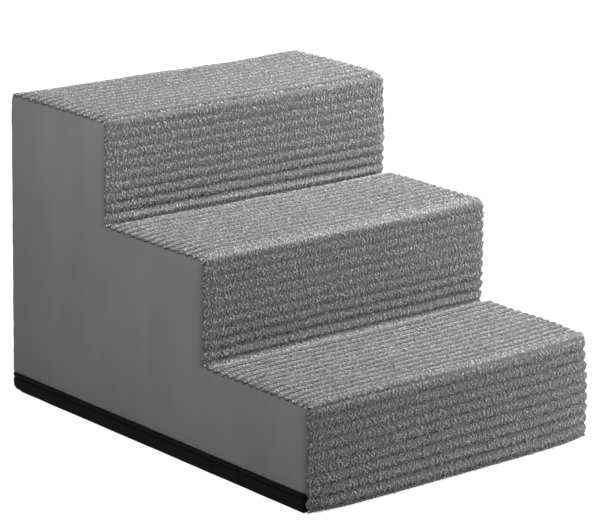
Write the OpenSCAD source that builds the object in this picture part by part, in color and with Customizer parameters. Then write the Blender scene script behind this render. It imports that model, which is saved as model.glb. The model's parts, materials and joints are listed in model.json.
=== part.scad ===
// Three foam steps for a pet, in a removable ribbed cover with a zipper round the foot.
// Origin: middle of the footprint, on the floor. X runs across the treads, the lowest riser
// faces -Y and Z is up. All lengths are millimetres.

/* [Steps] */
// Overall width, across the treads
stairs_w = 350; // [260:5:500]
// Depth of one step, front to back
tread_d = 150; // [110:5:220]
// Height of one step
riser_h = 100; // [70:5:140]

/* [Ribbed cover] */
// Distance between the ribs of the plush
rib_pitch = 10; // [8:0.5:13]
// Height of a rib above its groove
rib_relief = 3; // [2:0.25:4]
// Thickness of the cover cloth under a groove
cloth_t = 2; // [1:0.25:3]
// Radius of the ribbed surface round a nosing
nosing_r = 8; // [7.5:0.5:14]
// Radius at which the rib ends roll into the side seams
rib_end_r = 8; // [7.5:0.5:14]

/* [Side and back panels] */
// Thickness of a panel at its seams
panel_t = 5; // [3:0.5:8]
// How far the middle of a panel swells past its seams
panel_crown = 3; // [1:0.5:8]
// Distance over which that swell falls away to a seam
crown_run = 6; // [4:1:20]

/* [Base cloth] */
// Thickness of the base cloth
base_t = 2; // [1:0.25:2.5]
// Radius at which the base cloth turns up at the foot
base_edge_r = 5; // [4:0.25:7]
// Height of the base cloth's turned-up edge
base_rise = 5.5; // [4.5:0.25:6]

/* [Zipper] */
// Height of the whole dark band at the foot
band_h = 18; // [17:0.5:26]
// Height of the zipper's centre line above the floor
chain_z = 10.5; // [10:0.25:11.5]
// Thickness of the zipper's tape
tape_t = 1; // [0.6:0.1:1.2]
// Height of the closed chain, both rows together
chain_w = 6; // [5:0.25:7]
// Thickness of the chain
chain_t = 2.4; // [1.8:0.1:2.8]
// Distance from the front seam to the closed end of the chain, on the right
chain_inset = 14; // [13:1:40]
// Distance from the front seam to the other end of the chain, on the left
tail_inset = 4; // [3.5:0.5:40]
// Travel of the slider along the right side
slider_travel = 380; // [100:5:400]

/* [Slider and pull] */
// Length of the slider, along the zipper
slider_l = 11; // [9:0.5:14]
// Thickness of each plate of the slider
plate_t = 1.2; // [0.8:0.1:1.5]
// Gap between the slider and what it runs on
slider_gap = 0.3; // [0.2:0.05:0.4]
// Thickness of the slider's side walls
flange_t = 1; // [0.8:0.1:1.4]
// Width of the post that parts the two rows of teeth
post_w = 1.4; // [1:0.1:1.8]
// Width of the bridge that holds the pull
bridge_w = 2.4; // [2:0.1:2.8]
// Thickness of the bridge
bridge_t = 1; // [0.8:0.1:1.2]
// Length of the pull, from its hinge to its tip
pull_l = 28; // [18:1:40]
// Width of the pull
pull_w = 6; // [5.5:0.25:8]
// Thickness of the pull's flat tab
pull_t = 1.1; // [0.8:0.1:1.2]
// Diameter of the pull's hinge bar
pull_bar_d = 1.3; // [1.2:0.1:1.6]
// Radius of the pull's round tip
pull_tip_r = 4; // [3.5:0.25:6]

/* [Hidden] */
$fn = 48;

plush_grey = [0.52, 0.52, 0.53];
panel_grey = [0.42, 0.42, 0.43];
foam_cream = [0.93, 0.90, 0.80];
band_black = [0.06, 0.06, 0.06];

step_count = 3;
stairs_d = step_count * tread_d;
// Cuts run past the solids by this much
overrun = 5;

// The cover is one rib above its cloth; the foam starts behind it
cover_t = rib_relief + cloth_t;
seam_x = stairs_w / 2 - panel_crown;
core_x = seam_x - panel_t;
seam_back = stairs_d / 2 - panel_crown;
core_back = seam_back - panel_t;
core_front = -stairs_d / 2 + cover_t;
core_corner_r = base_edge_r - base_t;

// A rib is the arc through two grooves and the crest between them
rib_r = (pow(rib_pitch / 2, 2) + pow(rib_relief, 2)) / (2 * rib_relief);
half_arc = nosing_r * PI / 4;

// Places across the zipper, measured outwards from the foam
coil_out = tape_t;
flange_out = tape_t + slider_gap;
front_plate_out = tape_t + chain_t + slider_gap;
bridge_out = front_plate_out + plate_t;
// The pull clears the slider and, swung to the front, the seam of the cover
pull_axis_out = max(bridge_out + slider_gap + pull_bar_d / 2, panel_t + slider_gap + pull_t / 2);
bridge_rise = pull_axis_out + pull_bar_d / 2 + slider_gap - bridge_out;
tape_slit = post_w + 2 * slider_gap;
chain_front = core_front + chain_inset;
tail_front = core_front + tail_inset;
slider_h = chain_w + 2 * slider_gap + 2 * flange_t;
// Diameter that rounds a slider plate's ends, as a share of the plate's diagonal
plate_round_share = 0.9;
// Length of the bridge, as a share of the slider's
bridge_l_share = 0.75;
// Length of an end stop along the tape
stop_l = 3;
// The slider parks with its post just in front of the closed teeth
post_x = post_w / 2 + slider_gap - slider_l / 2;
slider_y = chain_front - slider_gap - post_w / 2 - post_x;

// Grid of a panel's swell, close together at the seams
grid_shares = [0, 0.02, 0.06, 0.16, 0.5, 0.84, 0.94, 0.98];

function front_y(k) = k * tread_d - stairs_d / 2;
function top_z(k) = (k + 1) * riser_h;
function foot_z(k) = k == 0 ? 0 : k * riser_h - rib_relief;
function tread_end(k) = k < step_count - 1 ? front_y(k + 1) : seam_back;

// Ribbed cover

// Distances of the ribs from the middle of the nosing, down the riser (-) and back over the tread (+)
function riser_run() = riser_h - nosing_r + half_arc;
function tread_run(k) = k < step_count - 1
    ? tread_d - nosing_r + half_arc
    : seam_back - front_y(k) - nosing_r + half_arc - rib_r;
function rib_places(k) = let (
    down = round(riser_run() / rib_pitch),
    along = round(tread_run(k) / rib_pitch)
) concat(
    [for (i = [down : -1 : 1]) -i * riser_run() / down],
    [for (i = [0 : along]) i * tread_run(k) / along]
);

// Centre of the rib at distance s, in the Y-Z plane
function rib_centre(k, s) =
    s < -half_arc ? [front_y(k) + rib_r, top_z(k) - nosing_r + half_arc + s] :
    s > half_arc ? [front_y(k) + nosing_r - half_arc + s, top_z(k) - rib_r] :
    let (turn = 45 + s / nosing_r * 180 / PI)
    [front_y(k) + nosing_r, top_z(k) - nosing_r] + (nosing_r - rib_r) * [-cos(turn), sin(turn)];

// Square corner with its low-x, high-y corner at the origin and a round of radius r
module rounded_corner_cut(r) {
    difference() {
        translate([-overrun, -r]) square([r + overrun, r + overrun]);
        translate([r, -r]) circle(r = r);
    }
}

// Side view of a step, drawn in by inset from the crests, from low up and on to the back
module step_outline(k, inset, low, back) {
    y = front_y(k) + inset;
    z = top_z(k) - inset;
    difference() {
        translate([y, low]) square([back - y, z - low]);
        translate([y, z]) rounded_corner_cut(nosing_r - inset);
    }
}

module cover_profile(k) {
    difference() {
        union() {
            intersection() {
                step_outline(k, rib_relief, foot_z(k) - overrun, tread_end(k) + cover_t);
                translate([front_y(k), foot_z(k)])
                    square([
                        (k < step_count - 1 ? tread_end(k) + cover_t : seam_back) - front_y(k),
                        2 * riser_h
                    ]);
            }
            intersection() {
                union() for (s = rib_places(k)) translate(rib_centre(k, s)) circle(r = rib_r);
                translate([front_y(k) - overrun, foot_z(k)])
                    square([tread_end(k) - front_y(k) + overrun, 2 * riser_h]);
            }
        }
        step_outline(k, cover_t, foot_z(k) - riser_h, tread_end(k) + tread_d);
    }
}

// Plan of the cover: its front corners roll round into the side seams
module roll_plan(front, back) {
    difference() {
        translate([-seam_x, front]) square([2 * seam_x, back - front]);
        for (side = [0, 1]) mirror([side, 0])
            translate([-seam_x, front]) mirror([0, 1]) rounded_corner_cut(rib_end_r);
    }
}

// Space of the panels' square corners, beside the foam's rounded edge
module panel_corners(k) {
    r = nosing_r - cover_t;
    for (side = [0, 1]) mirror([side, 0])
        translate([core_x, front_y(k) + cover_t, top_z(k) - cover_t - r])
            cube([panel_t + overrun, r, r]);
}

module step_cover(k) {
    color(plush_grey)
    difference() {
        ribbed_step(k);
        panel_corners(k);
    }
}

module ribbed_step(k) {
    intersection() {
        translate([-seam_x, 0]) rotate([90, 0, 90]) linear_extrude(2 * seam_x) cover_profile(k);
        translate([0, 0, foot_z(k) - overrun])
            linear_extrude(2 * riser_h) roll_plan(front_y(k), seam_back + overrun);
        translate([0, front_y(k) - overrun]) rotate([-90, 0, 0])
            linear_extrude(stairs_d + 2 * overrun) roll_plan(-top_z(k), overrun);
    }
}

// Foam core

// Plan of the core, grown outwards by out, with its front cut square at front
module core_plan(out, front) {
    r = core_corner_r + out;
    difference() {
        translate([-core_x - out, front]) square([2 * (core_x + out), core_back + out - front]);
        for (side = [0, 1]) mirror([side, 0])
            translate([-core_x - out, core_back + out]) rounded_corner_cut(r);
    }
}

module foam_slab(k) {
    low = k == 0 ? base_t : top_z(k - 1) - cover_t;
    color(foam_cream)
    intersection() {
        translate([-core_x, 0]) rotate([90, 0, 90])
            linear_extrude(2 * core_x) step_outline(k, cover_t, low, core_back);
        translate([0, 0, low - overrun])
            linear_extrude(riser_h + 2 * overrun) core_plan(0, core_front - overrun);
    }
}

// Hollow that the slider's inner plate presses in the foam along its travel
module slider_relief() {
    depth = plate_t + 2 * slider_gap;
    height = slider_h + 2 * slider_gap;
    start = core_front - overrun;
    end = slider_y + slider_travel + slider_l / 2 + slider_gap;
    translate([core_x - depth, start, chain_z - height / 2])
        cube([depth + overrun, end - start, height]);
}

module foam_lower() {
    difference() {
        foam_slab(0);
        color(foam_cream) slider_relief();
    }
}

// Side and back panels

// How far a point lies inside the stepped outline; ys and zs are the outline's corners
function seam_distance(ys, zs, y, z) = min(concat(
    [y - ys[0], ys[len(ys) - 1] - y, z - zs[0], zs[len(zs) - 1] - z],
    [for (k = [1 : 1 : len(ys) - 2]) norm([max(0, y - ys[k]), max(0, zs[k] - z)])]
));
function swell(d) = panel_t + panel_crown * (1 - exp(-d / crown_run));
function grid_lines(edges) = concat(
    [for (k = [0 : len(edges) - 2]) for (share = grid_shares)
        edges[k] + share * (edges[k + 1] - edges[k])],
    [edges[len(edges) - 1]]
);

// Panel with the stepped outline, flat behind and swelling outwards along +Z in front
module swelling_panel(ys, zs) {
    cells = len(grid_shares);
    ylines = grid_lines(ys);
    zlines = grid_lines(zs);
    columns = len(ylines) - 1;
    // Number of cells in the column that starts at line i, and of points on line i
    rise = [for (i = [0 : columns]) cells * (1 + floor(min(i, columns - 1) / cells))];
    first = [for (i = 0, n = 0; i <= columns; n = n + rise[i] + 1, i = i + 1) n];
    count = first[columns] + rise[columns] + 1;
    front_points = [for (i = [0 : columns]) for (j = [0 : rise[i]])
        [ylines[i], zlines[j], swell(seam_distance(ys, zs, ylines[i], zlines[j]))]];
    back_points = [for (p = front_points) [p.x, p.y, 0]];
    function at(i, j) = first[i] + j;
    cell_faces = [for (i = [0 : columns - 1]) for (j = [0 : rise[i] - 1])
        [at(i, j), at(i, j + 1), at(i + 1, j + 1), at(i + 1, j)]];
    rim = concat(
        [for (j = [0 : rise[0] - 1]) [at(0, j + 1), at(0, j)]],
        [for (i = [0 : columns - 1]) [at(i, 0), at(i + 1, 0)]],
        [for (j = [0 : rise[columns] - 1]) [at(columns, j), at(columns, j + 1)]],
        [for (i = [0 : columns - 1]) [at(i + 1, rise[i]), at(i, rise[i])]],
        [for (i = [cells : cells : columns - 1]) for (j = [rise[i - 1] : rise[i] - 1])
            [at(i, j + 1), at(i, j)]]
    );
    polyhedron(
        points = concat(front_points, back_points),
        faces = concat(
            [for (f = cell_faces) [f[0], f[1], f[2]]],
            [for (f = cell_faces) [f[0], f[2], f[3]]],
            [for (f = cell_faces) [f[2] + count, f[1] + count, f[0] + count]],
            [for (f = cell_faces) [f[3] + count, f[2] + count, f[0] + count]],
            [for (e = rim) [e[0], e[1], e[1] + count]],
            [for (e = rim) [e[0], e[1] + count, e[0] + count]]
        )
    );
}

module side_panel_right() {
    color(panel_grey)
    translate([core_x, 0]) rotate([90, 0, 90]) swelling_panel(
        [for (k = [0 : step_count]) k < step_count ? front_y(k) + cover_t : seam_back],
        [for (k = [0 : step_count]) k == 0 ? band_h : top_z(k - 1) - cover_t]
    );
}

module side_panel_left() {
    mirror([1, 0]) side_panel_right();
}

module back_panel() {
    color(panel_grey)
    translate([0, core_back]) rotate([90, 0, 180])
        swelling_panel([-core_x, core_x], [band_h, top_z(step_count - 1) - cover_t]);
}

// Base cloth

module base_panel() {
    color(band_black)
    difference() {
        hull() {
            for (side = [-1, 1]) translate([side * (core_x - core_corner_r), 0, base_edge_r]) {
                translate([0, core_back - core_corner_r]) rotate_extrude($fn = 32)
                    intersection() {
                        circle(r = base_edge_r, $fn = 32);
                        translate([0, -base_edge_r]) square([base_edge_r, 2 * base_edge_r]);
                    }
                translate([0, core_front]) rotate([-90, 0, 0])
                    cylinder(r = base_edge_r, h = base_edge_r, $fn = 32);
            }
        }
        translate([0, 0, base_t]) linear_extrude(stairs_d) core_plan(0, core_front - overrun);
        translate([0, 0, base_rise]) linear_extrude(stairs_d)
            core_plan(base_t + overrun, core_front - overrun);
    }
}

// Zipper

// Strip that follows the foot round three sides, from in to out away from the foam,
// with its own front end on the left and on the right
module foot_strip(in, out, low, high, left_front = core_front, right_front = core_front) {
    translate([0, 0, low]) linear_extrude(high - low) difference() {
        core_plan(out, left_front);
        core_plan(in, left_front - overrun);
        translate([0, left_front - overrun])
            square([core_x + out + overrun, right_front - left_front + overrun]);
    }
}

module coil_row(low) {
    foot_strip(coil_out, coil_out + chain_t, low, low + chain_w / 2, tail_front, chain_front);
}

module zipper_tape_lower() {
    color(band_black) foot_strip(0, tape_t, base_rise, chain_z - tape_slit / 2);
}

module zipper_tape_upper() {
    color(band_black) foot_strip(0, tape_t, chain_z + tape_slit / 2, band_h);
}

module zipper_coil_lower() {
    color(band_black) coil_row(chain_z - chain_w / 2);
}

module zipper_coil_upper() {
    color(band_black) coil_row(chain_z);
}

// Places what is drawn lying flat on the right side's chain: x along it, y up, z outwards
module on_chain(y) {
    translate([core_x, y, chain_z]) rotate([90, 0, 90]) children();
}

module slider_plate() {
    linear_extrude(plate_t) intersection() {
        square([slider_l, slider_h], center = true);
        circle(d = plate_round_share * norm([slider_l, slider_h]));
    }
}

module zipper_slider() {
    bridge_l = bridge_l_share * slider_l;
    color(band_black)
    on_chain(slider_y) {
        translate([0, 0, -slider_gap - plate_t]) slider_plate();
        translate([0, 0, front_plate_out]) slider_plate();
        translate([post_x, 0, -slider_gap - plate_t / 2])
            cylinder(d = post_w, h = front_plate_out + slider_gap + plate_t);
        for (side = [0, 1]) mirror([0, side])
            translate([-bridge_l / 2, chain_w / 2 + slider_gap, flange_out])
                cube([bridge_l, flange_t, front_plate_out + plate_t / 2 - flange_out]);
        translate([0, bridge_w / 2, bridge_out - plate_t / 2]) rotate([90, 0, 0])
            linear_extrude(bridge_w) difference() {
                translate([-bridge_l / 2, 0]) square([bridge_l, plate_t / 2 + bridge_rise + bridge_t]);
                translate([-bridge_l / 2 + bridge_t, -overrun])
                    square([bridge_l - 2 * bridge_t, overrun + plate_t / 2 + bridge_rise]);
            }
    }
}

module zipper_pull() {
    // The eye clears the bridge's outer corner as the pull swings over it
    eye_l = norm([bridge_l_share * slider_l / 2, bridge_rise / 2 + bridge_t]) + slider_gap;
    eye_w = bridge_w + 2 * slider_gap;
    color(band_black)
    on_chain(slider_y) translate([0, 0, pull_axis_out]) {
        translate([0, 0, -pull_t / 2]) linear_extrude(pull_t) difference() {
            intersection() {
                translate([0, -pull_w / 2]) square([pull_l, pull_w]);
                union() {
                    translate([0, -pull_w / 2]) square([pull_l - pull_tip_r, pull_w]);
                    translate([pull_l - pull_tip_r, 0]) circle(r = pull_tip_r);
                }
            }
            translate([-overrun, -eye_w / 2]) square([overrun + eye_l, eye_w]);
        }
        rotate([90, 0, 0]) cylinder(d = pull_bar_d, h = pull_w, center = true);
    }
}

// Stop of a given height on the tape's outer face
module end_stop(height) {
    translate([0, -height / 2, tape_t]) cube([stop_l, height, chain_t]);
}

module zipper_top_stops() {
    color(band_black)
    on_chain(slider_y - slider_l / 2 - slider_gap - stop_l)
        for (side = [-1, 1]) translate([0, side * (tape_slit + chain_w) / 4])
            end_stop((chain_w - tape_slit) / 2);
}

module zipper_bottom_stop() {
    color(band_black)
    mirror([1, 0]) on_chain(tail_front - stop_l) end_stop(chain_w);
}

step_cover(0);  // step_cover_lower
step_cover(1);  // step_cover_middle
step_cover(2);  // step_cover_upper
side_panel_left();
side_panel_right();
back_panel();
base_panel();
foam_lower();
foam_slab(1);  // foam_middle
foam_slab(2);  // foam_upper
zipper_tape_lower();
zipper_tape_upper();
zipper_coil_lower();
zipper_coil_upper();
zipper_slider();
zipper_pull();
zipper_top_stops();
zipper_bottom_stop();
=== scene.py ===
# %% [markdown]
# # Pet stairs in a ribbed plush cover
#
# This lesson dresses a finished construction model in cloth. The real object is three foam steps
# in one removable cover: ribbed plush over the treads and risers, plain suede cloth at the sides
# and the back, a black non-slip cloth underneath and a zipper that runs round the foot.
#
# The construction model is loaded as a fixed frame. It gives the places and main sizes: each piece
# of cloth is built where its solid stands and then hides that solid. How far the cloth bulges, rolls
# and sinks was set by comparing renders with the photograph. Lengths are metres, and MM turns
# millimetres into them.

# %% Loading the frame
import json
import math
import bmesh
import bpy
from mathutils import Matrix, Vector
from mathutils.noise import noise as perlin
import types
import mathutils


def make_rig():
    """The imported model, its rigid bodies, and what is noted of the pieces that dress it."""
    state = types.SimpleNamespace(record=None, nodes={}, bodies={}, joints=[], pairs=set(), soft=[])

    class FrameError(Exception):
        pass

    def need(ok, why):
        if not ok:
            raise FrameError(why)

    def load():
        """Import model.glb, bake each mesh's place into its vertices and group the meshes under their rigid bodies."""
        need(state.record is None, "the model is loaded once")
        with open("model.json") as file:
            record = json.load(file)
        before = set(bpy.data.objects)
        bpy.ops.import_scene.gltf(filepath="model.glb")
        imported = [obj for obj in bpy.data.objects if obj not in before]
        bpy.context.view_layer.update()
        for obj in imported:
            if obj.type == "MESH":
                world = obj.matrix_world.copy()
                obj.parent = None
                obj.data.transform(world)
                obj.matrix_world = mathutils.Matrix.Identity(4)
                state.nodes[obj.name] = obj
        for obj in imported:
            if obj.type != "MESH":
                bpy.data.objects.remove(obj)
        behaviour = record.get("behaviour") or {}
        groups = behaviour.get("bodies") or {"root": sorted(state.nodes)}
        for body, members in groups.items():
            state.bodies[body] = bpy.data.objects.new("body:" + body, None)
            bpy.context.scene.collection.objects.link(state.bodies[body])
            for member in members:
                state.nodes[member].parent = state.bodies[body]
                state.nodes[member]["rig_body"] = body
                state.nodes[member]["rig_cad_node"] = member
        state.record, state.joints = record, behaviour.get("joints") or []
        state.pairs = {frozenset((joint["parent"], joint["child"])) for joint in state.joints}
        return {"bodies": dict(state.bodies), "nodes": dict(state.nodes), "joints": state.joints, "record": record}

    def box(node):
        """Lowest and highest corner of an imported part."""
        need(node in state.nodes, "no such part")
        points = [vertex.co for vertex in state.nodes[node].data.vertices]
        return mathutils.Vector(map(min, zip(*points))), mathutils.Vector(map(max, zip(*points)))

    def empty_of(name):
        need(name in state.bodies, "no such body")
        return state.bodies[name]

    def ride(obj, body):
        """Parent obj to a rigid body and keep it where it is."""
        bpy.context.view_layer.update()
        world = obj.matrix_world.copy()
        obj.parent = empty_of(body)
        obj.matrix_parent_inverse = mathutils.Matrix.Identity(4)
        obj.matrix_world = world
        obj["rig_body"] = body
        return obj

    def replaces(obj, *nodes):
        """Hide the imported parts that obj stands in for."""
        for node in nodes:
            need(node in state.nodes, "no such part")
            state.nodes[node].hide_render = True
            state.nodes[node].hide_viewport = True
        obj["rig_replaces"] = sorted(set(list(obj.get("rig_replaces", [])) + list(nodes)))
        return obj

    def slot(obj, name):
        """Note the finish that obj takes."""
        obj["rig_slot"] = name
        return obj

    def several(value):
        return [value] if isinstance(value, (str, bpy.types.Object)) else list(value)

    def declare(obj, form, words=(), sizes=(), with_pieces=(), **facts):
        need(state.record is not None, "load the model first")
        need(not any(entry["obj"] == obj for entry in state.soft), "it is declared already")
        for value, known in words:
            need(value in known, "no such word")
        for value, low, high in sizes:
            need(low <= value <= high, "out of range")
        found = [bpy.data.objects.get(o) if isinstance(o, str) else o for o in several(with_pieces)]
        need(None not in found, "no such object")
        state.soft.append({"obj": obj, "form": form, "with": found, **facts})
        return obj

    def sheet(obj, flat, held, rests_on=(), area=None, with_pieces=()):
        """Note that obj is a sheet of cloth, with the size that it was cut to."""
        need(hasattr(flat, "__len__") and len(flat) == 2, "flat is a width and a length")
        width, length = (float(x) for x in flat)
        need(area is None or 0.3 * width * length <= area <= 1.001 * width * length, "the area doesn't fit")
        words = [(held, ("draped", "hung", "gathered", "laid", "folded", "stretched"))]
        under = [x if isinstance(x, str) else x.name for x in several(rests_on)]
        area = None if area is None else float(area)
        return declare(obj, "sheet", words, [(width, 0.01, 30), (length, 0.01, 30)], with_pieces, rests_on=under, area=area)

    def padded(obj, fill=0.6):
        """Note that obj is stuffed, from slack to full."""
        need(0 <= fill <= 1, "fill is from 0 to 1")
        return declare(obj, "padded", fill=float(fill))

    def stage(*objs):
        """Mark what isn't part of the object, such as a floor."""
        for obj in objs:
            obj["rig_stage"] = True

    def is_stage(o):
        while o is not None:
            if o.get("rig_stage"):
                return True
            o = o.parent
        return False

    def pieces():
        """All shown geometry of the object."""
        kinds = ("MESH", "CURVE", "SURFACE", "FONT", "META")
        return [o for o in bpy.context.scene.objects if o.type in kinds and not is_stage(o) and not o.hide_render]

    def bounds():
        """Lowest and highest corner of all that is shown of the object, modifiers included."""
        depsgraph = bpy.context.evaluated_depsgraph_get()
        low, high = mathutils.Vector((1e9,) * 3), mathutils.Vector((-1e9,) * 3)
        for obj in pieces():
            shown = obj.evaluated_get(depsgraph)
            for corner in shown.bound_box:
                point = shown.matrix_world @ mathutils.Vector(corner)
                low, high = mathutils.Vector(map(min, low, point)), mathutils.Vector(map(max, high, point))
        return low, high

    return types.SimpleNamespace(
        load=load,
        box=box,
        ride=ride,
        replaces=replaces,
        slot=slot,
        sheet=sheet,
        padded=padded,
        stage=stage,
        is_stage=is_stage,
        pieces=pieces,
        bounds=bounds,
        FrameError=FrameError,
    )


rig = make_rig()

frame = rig.load()
cad_low, cad_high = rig.bounds()
MM = 0.001
scene = bpy.context.scene


def in_mm(lengths):
    return [round(length / MM, 1) for length in lengths]


print("construction model, mm:", in_mm(cad_high - cad_low))

# %% [markdown]
# ## Places from the frame
#
# The covers of the three steps have the same section. Their boxes give the front of each riser and
# the height of each tread. The foam core gives the planes that the cloth is stretched over.

# %% Places and cloth sizes
COVERS = ["step_cover_lower", "step_cover_middle", "step_cover_upper"]
FOAMS = ["foam_lower", "foam_middle", "foam_upper"]
FOAM_BLOCKS = [node.replace("foam", "foam_block") for node in FOAMS]
COVER_T = 5 * MM
RIB_RELIEF = 3 * MM
NOSING_R = 3 * MM
# At a seam the real cloth is fuller than its solid, which ends flush with the zipper's pull
PANEL_SEAM_T = 8.5 * MM
# The seams of the steps lie this far below the crests of the ribs
SEAM_DEPTH = 1.8 * MM
# The upper risers of the real object stand a little further forward than even steps would
FORWARD = [0.0, 1.3 * MM, 2.5 * MM]

fronts = [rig.box(name)[0].y - forward for name, forward in zip(COVERS, FORWARD)]
tops = [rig.box(name)[1].z for name in COVERS]
core_low, core_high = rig.box("foam_lower")
core_x = core_high.x
core_back = core_high.y
core_front = core_low.y
seam_x = core_x + PANEL_SEAM_T
seam_back = core_back + PANEL_SEAM_T
band_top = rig.box("side_panel_right")[0].z
riser_h = tops[1] - tops[0]
tread_d = fronts[1] - fronts[0]
print("risers at y, mm:", in_mm(fronts), "treads at z:", in_mm(tops))

# %% [markdown]
# ## Writing node maths as formulas
#
# Shapes and finishes below are formulas, and node trees are awkward to read as lists of links.
# This class wraps a node's output, so that a sum of two outputs adds the Math node for it. The same
# class serves geometry and shader trees, because both know the Math node. Every other kind of node
# comes from its node() method, and the few that are used again and again have a method of their own.

# %% A socket that does arithmetic
def maths(operation, swapped=False):
    """A method for a Python operator. It adds a Math node on a flow and another value."""
    def method(self, other):
        values = (other, self) if swapped else (self, other)
        return self.node("ShaderNodeMath", dict(enumerate(values)), operation=operation)
    return method


class Flow:
    """An output in a node tree. Arithmetic on flows adds Math nodes to the tree."""

    def __init__(self, tree, socket=None):
        self.tree = tree
        self.socket = socket

    def node(self, kind, sockets=None, out=0, **settings):
        """Adds a node, sets its properties first and then its inputs, and returns one output."""
        node = self.tree.nodes.new(kind)
        for name, value in settings.items():
            setattr(node, name, value)
        for name, value in (sockets or {}).items():
            for part in value if isinstance(value, list) else [value]:
                if isinstance(part, Flow):
                    self.tree.links.new(part.socket, node.inputs[name])
                else:
                    node.inputs[name].default_value = part
        return Flow(self.tree, node.outputs[out] if node.outputs else None)

    def output(self, name):
        """Another output of the same node."""
        return Flow(self.tree, self.socket.node.outputs[name])

    def math(self, operation, *others):
        return self.node("ShaderNodeMath", dict(enumerate([self, *others])), operation=operation)

    __add__ = __radd__ = maths("ADD")
    __sub__ = maths("SUBTRACT")
    __rsub__ = maths("SUBTRACT", swapped=True)
    __mul__ = __rmul__ = maths("MULTIPLY")
    __truediv__ = maths("DIVIDE")
    __rtruediv__ = maths("DIVIDE", swapped=True)
    __pow__ = maths("POWER")

    def __neg__(self):
        return self * -1

    def __abs__(self):
        return self.math("ABSOLUTE")

    def __round__(self):
        return self.math("ROUND")

    def clamp(self, low=0.0, high=1.0):
        return self.math("MAXIMUM", low).math("MINIMUM", high)

    def ramp(self, low, high):
        """0 below low, 1 above high and a smooth rise between them."""
        share = ((self - low) / (high - low)).clamp()
        return share * share * (3 - 2 * share)

    def vector(self, x, y, z):
        """A vector from three numbers or flows."""
        return self.node("ShaderNodeCombineXYZ", {0: x, 1: y, 2: z})

    def parts(self):
        """The three numbers of this vector."""
        split = self.node("ShaderNodeSeparateXYZ", {0: self})
        return split, split.output("Y"), split.output("Z")

    def moved(self, place):
        """This geometry with its points at other places."""
        return self.node("GeometryNodeSetPosition", {"Geometry": self, "Position": place})

    def stored(self, name, value):
        """This geometry with a number kept on each of its points."""
        sockets = {"Geometry": self, "Name": name, "Value": value}
        return self.node("GeometryNodeStoreNamedAttribute", sockets, data_type="FLOAT", domain="POINT")

    def smooth(self):
        return self.node("GeometryNodeSetShadeSmooth", {"Geometry": self})


# %% A geometry tree with named inputs
def geometry_tree(name, values):
    """A new tree with a named input for each value, a flow for each input, and what closes the tree."""
    tree = bpy.data.node_groups.new(name, "GeometryNodeTree")
    kinds = {"Geometry": "NodeSocketGeometry", **dict.fromkeys(values, "NodeSocketFloat")}
    kinds["Material"] = "NodeSocketMaterial"
    for label, kind in kinds.items():
        tree.interface.new_socket(label, in_out="INPUT", socket_type=kind)
    tree.interface.new_socket("Geometry", in_out="OUTPUT", socket_type="NodeSocketGeometry")
    source = tree.nodes.new("NodeGroupInput")
    given = {label: Flow(tree, source.outputs[label]) for label in kinds}

    def close(geometry):
        solid = geometry.node("GeometryNodeRealizeInstances", {"Geometry": geometry})
        sockets = {"Geometry": solid, "Material": given["Material"]}
        painted = solid.node("GeometryNodeSetMaterial", sockets)
        painted.node("NodeGroupOutput", {"Geometry": painted})
        return tree

    return Flow(tree), given, close


# %% Turning trees and modifiers into plain meshes
def add_object(name, data):
    added = bpy.data.objects.new(name, data)
    scene.collection.objects.link(added)
    return added


def apply(piece, modifier):
    """Makes what a modifier does the object's own mesh."""
    result = bpy.data.meshes.new_from_object(piece.evaluated_get(bpy.context.evaluated_depsgraph_get()))
    piece.modifiers.remove(modifier)
    piece.data = result


def print_triangles(piece):
    print(piece.name, "has", sum(len(p.vertices) - 2 for p in piece.data.polygons), "triangles")


def grow(name, tree, values, start=None):
    """Runs a geometry tree once and keeps the result as a plain mesh object."""
    piece = add_object(name, start or bpy.data.meshes.new(name))
    modifier = piece.modifiers.new("shape", "NODES")
    modifier.node_group = tree
    for item in tree.interface.items_tree:
        if item.in_out == "INPUT" and item.name in values:
            modifier[item.identifier] = values[item.name]
    apply(piece, modifier)
    piece.data.name = name
    print_triangles(piece)
    return piece


# %% [markdown]
# ## Finishes
#
# Every finish is a Principled shader whose colour, roughness and bump come from noise and waves on
# the object's own coordinates. One function makes the shader, so that each finish below only says
# what is special about its cloth, plastic or paint. Sheen is the pale glow of standing fibres: it is
# a plain number on the shader, because it is the same all over.

# %% A shader for each finish
GREY = (1, 1, 1)


def empty_tree(owner):
    """A flow in the emptied node tree of a material or a world."""
    owner.use_nodes = True
    owner.node_tree.nodes.clear()
    return Flow(owner.node_tree)


def finish(name, paint, tint=GREY, **fixed):
    """A material. paint(flow, place) returns brightness, roughness, bump height and bump depth."""
    material = bpy.data.materials.new(name)
    flow = empty_tree(material)
    place = flow.node("ShaderNodeTexCoord").output("Object")
    brightness, roughness, height, depth = paint(flow, place)
    shades = [brightness * share for share in tint]
    color = flow.node("ShaderNodeCombineColor", dict(enumerate(shades)))
    normal = flow.node("ShaderNodeBump", {"Height": height, "Distance": depth})
    sockets = {"Base Color": color, "Roughness": roughness, "Normal": normal}
    sockets.update({label.replace("_", " "): value for label, value in fixed.items()})
    shader = flow.node("ShaderNodeBsdfPrincipled", sockets)
    flow.node("ShaderNodeOutputMaterial", {"Surface": shader})
    return material


def noise(flow, place, size, detail=2.0, roughness=0.5):
    """Soft noise from 0 to 1 whose blotches are about size across."""
    sockets = {"Vector": place, "Scale": 1 / size, "Detail": detail, "Roughness": roughness}
    return flow.node("ShaderNodeTexNoise", sockets)


def varied(share, pattern):
    """A factor of 1 at the middle of a pattern from 0 to 1, and this share more at its top than its foot."""
    return (1 - share / 2) + share * pattern


def stretched(flow, place, x, y, z):
    """Place scaled along its axes, which draws a pattern out along the smaller ones."""
    return flow.node("ShaderNodeVectorMath", {0: place, 1: (x, y, z)}, operation="MULTIPLY")


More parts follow.
